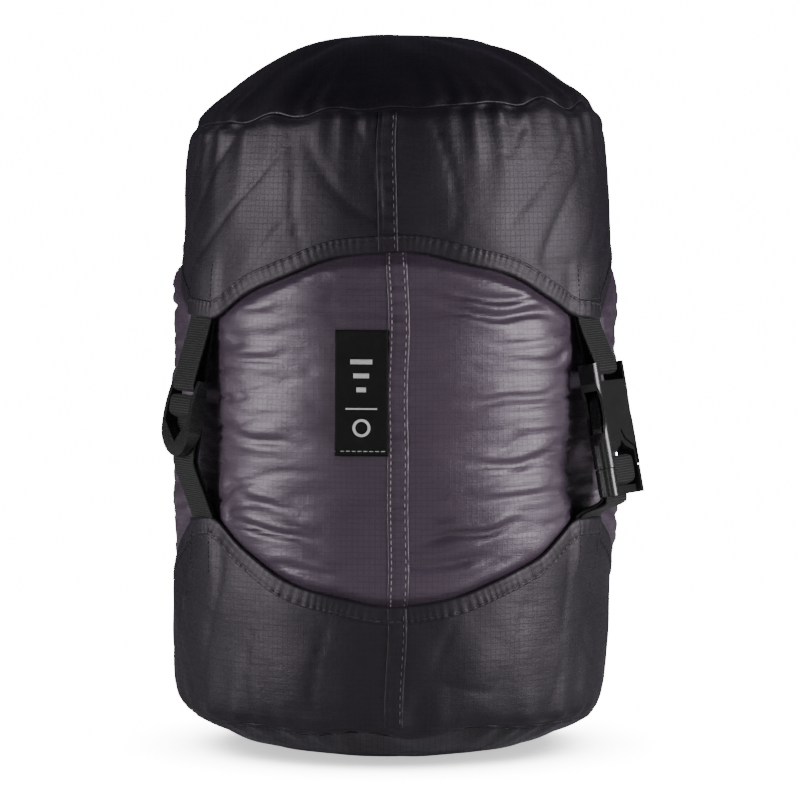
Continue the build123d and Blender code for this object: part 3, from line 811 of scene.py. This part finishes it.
def make_base():
    """The base panel: flat where it rests, puckered where it turns up into its seam."""
    flat, floor = 0.7, 0.05 * MM      # where across the panel it lies flat, and how high
    angle, part = np.meshgrid(angles(300), np.linspace(0, 1, 44)[:-1])
    edge_z = base_height(angle)
    edge_r = bottom_radius(angle, edge_z)
    fall = np.clip(part / flat, 0, 1)
    radius = edge_r + (FOOT_RADIUS - edge_r) * fall
    radius = np.where(part > flat, FOOT_RADIUS * (1 - (part - flat) / (1 - flat)), radius)
    away = part * HEM_RADIUS
    puffed = 1.3 * MM * puffs(angle, away, 92, 34, 11 * MM, 0.4)
    folds = 0.9 * MM * periodic_noise(angle, away, 93, (2, 9), (50 * MM, 160 * MM), 10)
    folds = np.abs(folds * np.sin(pi * fall)) * (1 - fall)
    z = np.maximum(edge_z * (1 - fall) ** 1.9 - puffed - folds, floor)
    radius = radius + puffed * (1 - fall)
    obj = disc_object("base_panel_cloth", angle, z, radius, floor, -1)
    solidify(obj, BASE_CLOTH)
    finish_piece(obj, "sack", ["base_panel"])


def surface_of(*objects):
    """A tree to find where a ray towards the axis first meets any of these pieces."""
    vertices, faces = [], []
    for obj in objects:
        base = len(vertices)
        vertices += [v.co.copy() for v in obj.data.vertices]
        faces += [[base + i for i in p.vertices] for p in obj.data.polygons]
    return BVHTree.FromPolygons(vertices, faces)


def touch(tree, phi, z, default=NEAR_HEM):
    """Radius and outward normal of the surface at an angle and a height."""
    direction = Vector((-cos(phi), -sin(phi), 0))
    hit, normal, _, _ = tree.ray_cast(Vector(polar(0.14, phi, z)), direction)
    if hit is None:
        return default, Vector((cos(phi), sin(phi), 0))
    if normal.dot(direction) > 0:
        normal = -normal
    return hypot(hit.x, hit.y), normal


# ---------------------------------------------------------------- hems and seams
# distance in from the edge and height above the cloth, in millimetres
HEM_PROFILE = ((0.6, -1.3), (-0.15, -0.7), (-0.3, 0.0), (0.1, 0.62), (0.9, 0.86), (2.2, 0.8),
               (4.0, 0.72), (5.6, 0.66), (6.4, 0.4), (6.9, 0.62), (7.4, 0.55), (7.7, 0.1))
HEM_STITCHED = 4      # past this distance the stitches dimple it fully


def make_hem(cap, tree, node):
    """The cap's folded edge: a doubled band with a rolled lip, dimpled by its stitches."""
    phi, hem = angles(900), cap.hem
    points, uv = [], []
    for inset, proud in HEM_PROFILE:
        angle, z = hem.inward(phi, inset * MM)
        dimple = 0.16 * MM * (0.3 + 0.7 * (inset > HEM_STITCHED))
        for i in range(len(phi)):
            on_cloth = z[i] - hem.side * max(0.0, 0.9 * MM - inset * MM)
            wave = dimple * sin(phi[i] * 190 + 3 * sin(phi[i] * 17))
            radius = touch(tree, angle[i], on_cloth)[0] + proud * MM + wave
            points.append(polar(radius, angle[i], z[i]))
            uv.append((phi[i] * HEM_RADIUS, inset * MM))
    faces = grid_faces(len(HEM_PROFILE), len(phi))
    if hem.side > 0:
        faces = faces[:, ::-1]
    obj = new_object(f"{cap.name}_hem_fold", points, faces, "cap", uv)
    finish_piece(obj, cap.body, [node])
    return obj


def make_seam_strip(name, tree, edges, low, high, body, material, seed, nodes):
    """The lapped front seam: a folded edge on one side, sewn down flat on the other."""
    fold, sewn = edges
    profile = [(fold, -0.5), (fold - 0.2, -0.1), (fold - 0.15, 0.3), (fold + 0.2, 0.5),
               (fold + 1.0, 0.42), (fold + 1.5, 0.3), (fold + 2.1, 0.46),
               (fold + (sewn - fold) * 0.55, 0.5), (sewn - 0.7, 0.4), (sewn - 0.1, 0.22),
               (sewn + 0.5, 0.36), (sewn + 1.3, 0.3), (sewn + 1.6, -0.05), (sewn + 1.7, -0.5)]
    z = np.arange(low, high, 0.8 * MM)
    wobble = seam_wobble(z, seed)
    pucker = 0.14 * MM * np.sin(z / (3.4 * MM) * pi + 2 * np.sin(z / (19 * MM)))
    points, uv = [], []
    for i, height in enumerate(z):
        for x, proud in profile:
            phi = FRONT + (x * MM - wobble[i]) / HEM_RADIUS
            radius = touch(tree, phi, height)[0] + proud * MM + pucker[i] * (proud > 0)
            points.append(polar(radius, phi, height))
            uv.append((x * MM, height + 1.1 * MM))
    obj = new_object(name, points, grid_faces(len(z), len(profile), wrap=False), material, uv)
    finish_piece(obj, body, nodes)
    return obj


def make_binding(cap, inset, low, high, node):
    """Grosgrain tape that binds a round seam's allowance inside the sack."""
    angle, part = np.meshgrid(angles(300), np.linspace(0, 1, 8))
    z = cap.seam(angle) + low + (high - low) * part
    radius = cap_radius(cap, angle, z) - (inset + 0.25 * MM * np.sin(angle * 90))
    obj = round_object(f"{cap.name}_seam_binding", angle, z, radius, "web")
    solidify(obj, 0.6 * MM)
    finish_piece(obj, cap.body, [node])


STITCH_RING = 6
STITCH_SHAPE = ((0.0, 0.35), (0.18, 0.85), (0.5, 1.0), (0.82, 0.85), (1.0, 0.35))
# spacing, length and width in millimetres
HEM_STITCH, BOX_STITCH, SEAM_STITCH = (3.1, 2.3, 0.42), (2.2, 1.6, 0.36), (3.6, 2.2, 0.42)
LEFT_STITCH, RIGHT_STITCH, LABEL_STITCH = (3.0, 2.1, 0.62), (3.6, 2.1, 0.55), (2.6, 1.9, 0.38)


def stitch_points(start, along, normal, length, width):
    """One short fat thread that lies on the cloth."""
    side = along.cross(normal).normalized()
    points = []
    for part, fat in STITCH_SHAPE:
        lift = 0.12 * MM + 0.22 * width * MM * (fat - 0.6)
        centre = start + along * part * length * MM + normal * lift
        for k in range(STITCH_RING):
            turn = tau * k / STITCH_RING
            offset = side * cos(turn) * width / 2 + normal * sin(turn) * width / 2.6
            points.append(centre + offset * fat * MM)
    return points


def stitches(name, path, tree, body, material, stitch):
    """A run of stitches along a path of (angle, height)."""
    spacing, length, width = stitch
    one = tube_faces(len(STITCH_SHAPE), STITCH_RING)
    vertices, faces, places = [], [], []
    for phi, z in path:
        radius, normal = touch(tree, phi, z, NEAR_STITCH)
        places.append((Vector(polar(radius, phi, z)), normal))
    distance, target = 0.0, 0.0
    for (a, normal), (b, _) in zip(places, places[1:]):
        run = (b - a).length
        while target <= distance + run and run > 1e-7:
            start = a.lerp(b, (target - distance) / run)
            faces += [[len(vertices) + i for i in face] for face in one]
            vertices += stitch_points(start, (b - a).normalized(), normal, length, width)
            target += spacing * MM
        distance += run
    obj = new_object(name, vertices, faces, material)
    finish_piece(obj, body)


def hem_path(hem):
    return list(zip(*hem.inward(np.linspace(-pi, pi, 1400), 6.5 * MM)))


def vertical_path(x, low, high, seed):
    z = np.arange(low, high, MM)
    return list(zip(FRONT + (x * MM - seam_wobble(z, seed)) / HEM_RADIUS, z))


def box_path(strap, cap):
    """The stitched box that holds the webbing under a tongue, nearest side first."""
    near, far = (cap.tip - cap.hem.side * inset * MM for inset in (8.5, 23.5))
    left, right = strap - 9.2 * MM / HEM_RADIUS, strap + 9.2 * MM / HEM_RADIUS
    corners = [(left, near), (right, near), (right, far), (left, far), (left, near)]
    path, steps = [], 14
    for (a0, z0), (a1, z1) in zip(corners, corners[1:]):
        path += [(a0 + (a1 - a0) * i / steps, z0 + (z1 - z0) * i / steps) for i in range(steps)]
    return path + [corners[-1]]


# ---------------------------------------------------------------- webbing
# across half the strap's width, and how thick it is there
WEB_SECTION = ((-1, 0.25), (-0.985, 0.75), (-0.93, 1.0), (-0.8, 0.96), (-0.6, 1), (-0.4, 0.96),
               (-0.2, 1), (0, 0.96), (0.2, 1), (0.4, 0.96), (0.6, 1), (0.8, 0.96), (0.93, 1.0),
               (0.985, 0.75), (1, 0.25))


def resampled(points, step):
    """Smooth a route of (radius, height) pairs and place points along it at even steps."""
    curve = np.array(points, dtype=float)
    for _ in range(4):
        cut = np.empty((2 * len(curve) - 2, 2))
        cut[0::2] = 0.75 * curve[:-1] + 0.25 * curve[1:]
        cut[1::2] = 0.25 * curve[:-1] + 0.75 * curve[1:]
        curve = np.vstack([curve[:1], cut, curve[-1:]])
    lengths = np.concatenate([[0], np.cumsum(np.linalg.norm(np.diff(curve, axis=0), axis=1))])
    at = np.arange(0, lengths[-1], step)
    return np.stack([np.interp(at, lengths, curve[:, i]) for i in (0, 1)], -1), at


def webbing(name, route, strap, shift=0.0):
    """Ribbed strap along a route in the strap's radial plane, which strays sideways by shift."""
    line, at = resampled(route, WEB_RIB / 4)
    tangent = np.gradient(line, axis=0)
    tangent /= np.linalg.norm(tangent, axis=1, keepdims=True)
    normal = np.stack([-tangent[:, 1], tangent[:, 0]], -1)
    rib = 0.17 * MM * np.sin(at / WEB_RIB * tau)
    rows, across = [], []
    for side in (1, -1):
        for w, thick in WEB_SECTION[::side]:
            edge = 1 + 0.012 * np.sin(at / (9 * MM) + 2 * w)
            lift = side * (thick * WEB / 2 + rib * (abs(w) < 0.95))
            spot = line + normal * lift[:, None]
            sideways = w * WEB_WIDTH / 2 * edge + shift * at / at[-1]
            rows.append(np.stack([spot[:, 0], sideways, spot[:, 1]], -1))
            across.append(w * WEB_WIDTH / 2)
    ring = np.stack(rows, 1)
    size = ring.shape[:2]
    turn = np.array([[cos(strap), -sin(strap), 0], [sin(strap), cos(strap), 0], [0, 0, 1]])
    uv = np.stack([np.broadcast_to(across, size), np.broadcast_to(at[:, None], size)], -1)
    return new_object(name, ring.reshape(-1, 3) @ turn.T, tube_faces(*size), "web",
                      uv.reshape(-1, 2))


def routed(top, points):
    """A route; beside a fitting its points are given in millimetres down it and out from it."""
    route = []
    for near_fitting, a, b in points:
        if near_fitting:
            route.append((top[0] + a * MM * sin(TILT) + b * MM * cos(TILT),
                          top[1] - a * MM * cos(TILT) + b * MM * sin(TILT)))
        else:
            route.append((a * MM, b * MM))
    return route


def make_straps():
    """Upper loops, the wraps round the fittings' bars, and the lower runs with their tails."""
    for place, strap in STRAPS.items():
        buckle = place == "right"
        top = BUCKLE_TOP if buckle else LOCK_TOP
        bar, bar_end, end = (43.4, 52.6, 60.3) if buckle else (7.6, 13.8, 35)
        upper = webbing(f"upper_webbing_{place}", routed(top, [
            (0, 100.1, 219), (0, 100.4, 206), (0, 101.4, 198.5), (1, 0.5, 2.75), (1, 3.6, 2.6),
            (1, 4.4, 1.4), (1, 4.4, -1.4), (1, 3.4, -2.5), (1, 0.0, -2.5), (0, 99.8, 198.5),
            (0, 98.95, 206), (0, 98.75, 219)]), strap)
        finish_piece(upper, "lid", [f"upper_strap_{place}"])
        wrap = webbing(f"webbing_wrap_{place}", routed(top, [
            (1, end - (6 if buckle else 14), -4.6), (1, bar + 2.5, -4.3), (1, bar, -3.4),
            (1, bar - 0.3, 0), (1, bar + 0.1, 2.1), (1, bar + 1.5, 2.65), (1, bar_end - 0.2, 2.65),
            (1, bar_end + 1.5, 1.9), (1, bar_end + 2.2, 0), (1, bar_end + 2.8, -2.2),
            (1, bar_end + 4.2, -3.0), (1, end - 1, -3.2)]), strap)
        finish_piece(wrap, "plug" if buckle else f"ladder_{place}")
        standing = webbing(f"lower_webbing_{place}", routed(top, [
            (0, 98.9, 84), (0, 99.0, 106), (0, 100.2, 112.5), (1, end + 2.5, -5.4),
            (1, end - 3, -5.0), (1, end - (8 if buckle else 15), -4.7)]), strap)
        tucked = webbing(f"webbing_tail_{place}", routed(top, [
            (1, end - 2, -3.3), (1, end + 1.0, -3.4), (1, end + 3.4, -4.2), (0, 102.2, 112.5),
            (0, 100.7, 107), (0, 100.4, 98)]), strap, 2.5 * MM)
        for piece in (standing, tucked):
            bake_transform(piece)
        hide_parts(f"lower_strap_{place}")


# ---------------------------------------------------------------- label
def printed_line(name, path, width, cover):
    """A flat printed line on the label along a path of (x, z) in millimetres."""
    vertices, faces = [], []
    for i, (x, z) in enumerate(path):
        before, after = path[max(i - 1, 0)], path[min(i + 1, len(path) - 1)]
        dx, dz = after[0] - before[0], after[1] - before[1]
        size = hypot(dx, dz)
        for side in (-0.5, 0.5):
            phi = FRONT + (x - dz / size * side * width) * MM / HEM_RADIUS
            height = (z + dx / size * side * width) * MM
            radius, _ = touch(cover, phi, height, 103.5 * MM)
            vertices += [polar(radius + lift * MM, phi, height) for lift in (0.02, 0.16)]
    for a in range(0, 4 * (len(path) - 1), 4):
        faces += [(a + 1, a + 3, a + 7, a + 5), (a, a + 4, a + 6, a + 2),
                  (a, a + 1, a + 5, a + 4), (a + 2, a + 6, a + 7, a + 3)]
    last = len(vertices) - 4
    faces += [(0, 2, 3, 1), (last, last + 1, last + 3, last + 2)]
    finish_piece(new_object(name, vertices, faces, "print"), "sack")


def make_label(tree):
    """Woven size label in the front seam; a plain pictogram takes its lettering's place."""
    columns, rows = 26, 56
    points, uv = [], []
    for j in range(rows):
        z = LABEL_LOW + (LABEL_HIGH - LABEL_LOW) * j / (rows - 1)
        for i in range(columns):
            x = LABEL_LEFT + (LABEL_RIGHT - LABEL_LEFT) * i / (columns - 1)
            phi = FRONT + x / HEM_RADIUS
            around = [touch(tree, phi + k * 2.2 * MM / HEM_RADIUS, z + h * 3 * MM)[0]
                      for k in (-1, 0, 1) for h in (-1, 0, 1)]
            curl = 0.63 * MM * (1 - i / (columns - 1)) ** 3
            points.append(polar(sum(around) / len(around) + 0.5 * MM + curl, phi, z))
            uv.append((x, z))
    label = new_object("label_cloth", points, grid_faces(rows, columns, wrap=False), "label", uv)
    solidify(label, 0.35 * MM, 1.0)
    finish_piece(label, "sack", ["size_label"])
    cover = BVHTree.FromObject(label, bpy.context.evaluated_depsgraph_get())

    line = [(LABEL_MIDDLE - 7 + 14 * i / 16, 163.0) for i in range(17)]
    printed_line("label_divider", line, 0.7, cover)
    ring = [(LABEL_MIDDLE + 3.4 * cos(a), 154.5 + 3.4 * sin(a)) for a in np.linspace(0, tau, 33)]
    printed_line("label_ring", ring, 1.2, cover)
    for k, wide in enumerate((4.2, 7.0, 9.8)):
        bar = [(LABEL_MIDDLE - wide / 2 + wide * i / 10, 171.5 + 6.2 * k) for i in range(11)]
        printed_line(f"label_bar_{k + 1}", bar, 2.1, cover)
    edge = [(FRONT + x * MM / HEM_RADIUS, LABEL_LOW + 2.2 * MM) for x in np.linspace(-27, -4, 40)]
    stitches("label_stitches", edge, cover, "sack", "white_thread", LABEL_STITCH)


# ---------------------------------------------------------------- what the lid hides
def make_neck():
    """The gathered neck: pleats that deepen towards the throat."""
    low, high, throat, shoulder = 252 * MM, 288 * MM, 27.5 * MM, 9 * MM
    angle, part = np.meshgrid(angles(360), np.linspace(0, 1, 46))
    outer = body_radius(angle, 0 * angle + low)
    inwards = np.clip((part - 0.12) / 0.88, 0, 1)
    radius = outer - (outer - throat) * inwards ** 0.95 - 3 * MM * soft_step(part, 0, 0.24)
    z = low + shoulder * np.sin(np.clip(part / 0.24, 0, 1) * pi / 2)
    z = z + (high - low - shoulder) * inwards
    pleat = np.cos(22 * angle + 1.2 * ring_noise(angle, 101, (2, 7), 5))
    z = z + 1.6 * MM * part * pleat * (1 - 0.3 * part)
    radius = radius + 0.5 * MM * pleat * part
    obj = round_object("neck_cloth", angle, z, radius, "body", part * 80 * MM)
    solidify(obj, BODY_CLOTH)
    finish_piece(obj, "sack", ["neck_collar"])


def make_channel():
    """The drawcord's channel: a sewn tube, ruched round the throat."""
    ring_radius, tube, level = 24.5 * MM, 4.2 * MM, 293 * MM
    angle, roll = np.meshgrid(angles(240), np.linspace(0, tau, 25)[:-1])
    size = tube + 0.45 * MM * np.cos(30 * angle + ring_noise(angle, 111, (2, 7), 5))
    rows, columns = angle.shape
    faces = grid_faces(rows + 1, columns) % (rows * columns)
    obj = round_object("channel_cloth", angle, level + size * np.sin(roll),
                       ring_radius + size * np.cos(roll), "body", roll * tube, faces)
    finish_piece(obj, "sack", ["drawcord_channel"])


def make_contents():
    """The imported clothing: a lumpy core inside the cloth."""
    angle, part = np.meshgrid(angles(120), np.linspace(0, 1, 60))
    z = 6 * MM + part * 262 * MM
    side = 92 * MM * np.clip(1 - (2 * np.abs(part - 0.5)) ** 9, 0.02, 1) ** 0.5
    lumps = np.tanh(periodic_noise(angle, z, 121, (2, 7), (40 * MM, 120 * MM), 8))
    obj = round_object("packed_clothing", angle, z, side * (1 + 0.02 * lumps), "contents",
                       faces=tube_faces(*angle.shape))
    finish_piece(obj, "sack", ["packed_load"])


def make_spring():
    """The cord lock's coil spring, which shortens under its button."""
    low, high = (Vector(corner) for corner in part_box("cord_lock_spring")[:2])
    wire, turns, ring = 0.35 * MM, 3, 10
    radius = (high.x - low.x) / 2 - wire
    centre = (low + high) / 2
    steps = 40 * turns
    vertices = []
    for i in range(steps + 1):
        turn = tau * turns * i / steps
        z = low.z + wire + (high.z - low.z - 2 * wire) * i / steps
        for k in range(ring):
            roll = tau * k / ring
            x, y, up = polar(radius + wire * cos(roll), turn, z + wire * sin(roll))
            vertices.append((centre.x + x, centre.y + y, up))
    obj = new_object("spring_coil", vertices, tube_faces(steps + 1, ring), "metal")
    finish_piece(obj, "sack", ["cord_lock_spring"])
    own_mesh(obj)


# ---------------------------------------------------------------- CAD pieces that stay
DRESSED = (
    ("plastic", 0.9 * MM, ("buckle_socket", "buckle_plug", "ladder_lock_left", "ladder_lock_back",
                           "cord_lock_barrel", "cord_lock_button")),
    ("polished", 0.5 * MM, ("buckle_prong_front", "buckle_prong_rear")),
    ("web", 0, ("drawcord",)),
)


def bevel(obj, width):
    made = obj.modifiers.new("moulded edges", "BEVEL")
    made.width = width
    made.segments = 3
    made.limit_method = "ANGLE"
    made.angle_limit = radians(32)
    made.harden_normals = False


def dress_cad_nodes():
    """Materials and soft moulded edges for the CAD pieces that stay as they are."""
    for material, edge, nodes in DRESSED:
        for node in nodes:
            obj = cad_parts[node]
            for slot in obj.material_slots:
                slot.material = MATERIALS[material]
            if not obj.material_slots:
                obj.data.materials.append(MATERIALS[material])
            if edge:
                bevel(obj, edge)


# ---------------------------------------------------------------- assembly
LID_SEAM, BOTTOM_SEAM, BODY_SEAM = 31, 32, 33      # the vertical seams' seeds


def sew(body, lid_band, dome, bottom_band):
    """Hems, front seams and every row of stitches, laid on the cloth that is there by then."""
    lid_hem = make_hem(LID, surface_of(lid_band, dome), "top_cap_hem")
    bottom_hem = make_hem(BOTTOM, surface_of(bottom_band), "bottom_cap_hem")
    lid, bottom = (lid_band, dome, lid_hem), (bottom_band, bottom_hem)
    lid_strip = make_seam_strip(
        "lid_seam_fold", surface_of(*lid), (-8, -0.5), LID_ARCH_Z + 0.6 * MM, SEAM_Z + 3.2 * MM,
        "lid", "cap", LID_SEAM, ())
    bottom_strip = make_seam_strip(
        "bottom_seam_fold", surface_of(*bottom), (-4, 3), BASE_SEAM_Z + 2 * MM,
        BOTTOM_ARCH_Z - 0.6 * MM, "sack", "cap", BOTTOM_SEAM, ())
    body_strip = make_seam_strip(
        "body_seam_fold", surface_of(body), (-3.2, 4.6), 68 * MM, 238 * MM, "sack", "body",
        BODY_SEAM, ["side_seam_tape"])
    on_lid, on_bottom = surface_of(*lid, lid_strip), surface_of(*bottom, bottom_strip)
    on_body = surface_of(body, body_strip)
    runs = [("lid_hem_stitches", hem_path(LID.hem), on_lid, "lid", "dark_thread", HEM_STITCH),
            ("bottom_hem_stitches", hem_path(BOTTOM.hem), on_bottom, "sack", "dark_thread",
             HEM_STITCH)]
    for place, strap in STRAPS.items():
        for cap, tree in ((LID, on_lid), (BOTTOM, on_bottom)):
            runs.append((f"{cap.name}_box_{place}", box_path(strap, cap), tree, cap.body,
                         "dark_thread", BOX_STITCH))
    runs += [("lid_seam_stitches", vertical_path(-0.5, 234 * MM, SEAM_Z + 2 * MM, LID_SEAM),
              on_lid, "lid", "seam_thread", SEAM_STITCH),
             ("bottom_seam_stitches", vertical_path(3, 22 * MM, 73 * MM, BOTTOM_SEAM),
              on_bottom, "sack", "seam_thread", SEAM_STITCH),
             ("body_seam_stitches_left", vertical_path(-1.9, 74 * MM, 234 * MM, BODY_SEAM),
              on_body, "sack", "light_thread", LEFT_STITCH),
             ("body_seam_stitches_right", vertical_path(4.6, 74 * MM, 234 * MM, BODY_SEAM),
              on_body, "sack", "light_thread", RIGHT_STITCH)]
    for run in runs:
        stitches(*run)


def main():
    make_camera()
    make_studio()
    make_materials()
    body = make_side_panel()
    lid_band = make_cap_band(LID, LID.hem.z, seam_height, 0.85, 4 * MM, 0.075, 1.012, 0.7, 4.0 * MM)
    dome = make_lid_dome()
    bottom_band = make_cap_band(BOTTOM, base_height, BOTTOM.hem.z, 1.1, 0.5 * MM, 0.06, 1.01, 0.6,
                                3.5 * MM)
    make_base()
    sew(body, lid_band, dome, bottom_band)
    make_label(surface_of(body))
    for obj, owner, node in ((lid_band, "lid", "top_cap"), (dome, "lid", "top_panel"),
                             (bottom_band, "sack", "bottom_cap")):
        solidify(obj, CAP_CLOTH)
        finish_piece(obj, owner, [node])
    solidify(body, BODY_CLOTH)
    make_straps()
    make_binding(LID, 2.6 * MM, -9 * MM, -2 * MM, "top_seam_binding")
    make_binding(BOTTOM, 2.4 * MM, -2 * MM, 5 * MM, "base_seam_binding")
    make_neck()
    make_channel()
    make_spring()
    make_contents()
    dress_cad_nodes()


main()
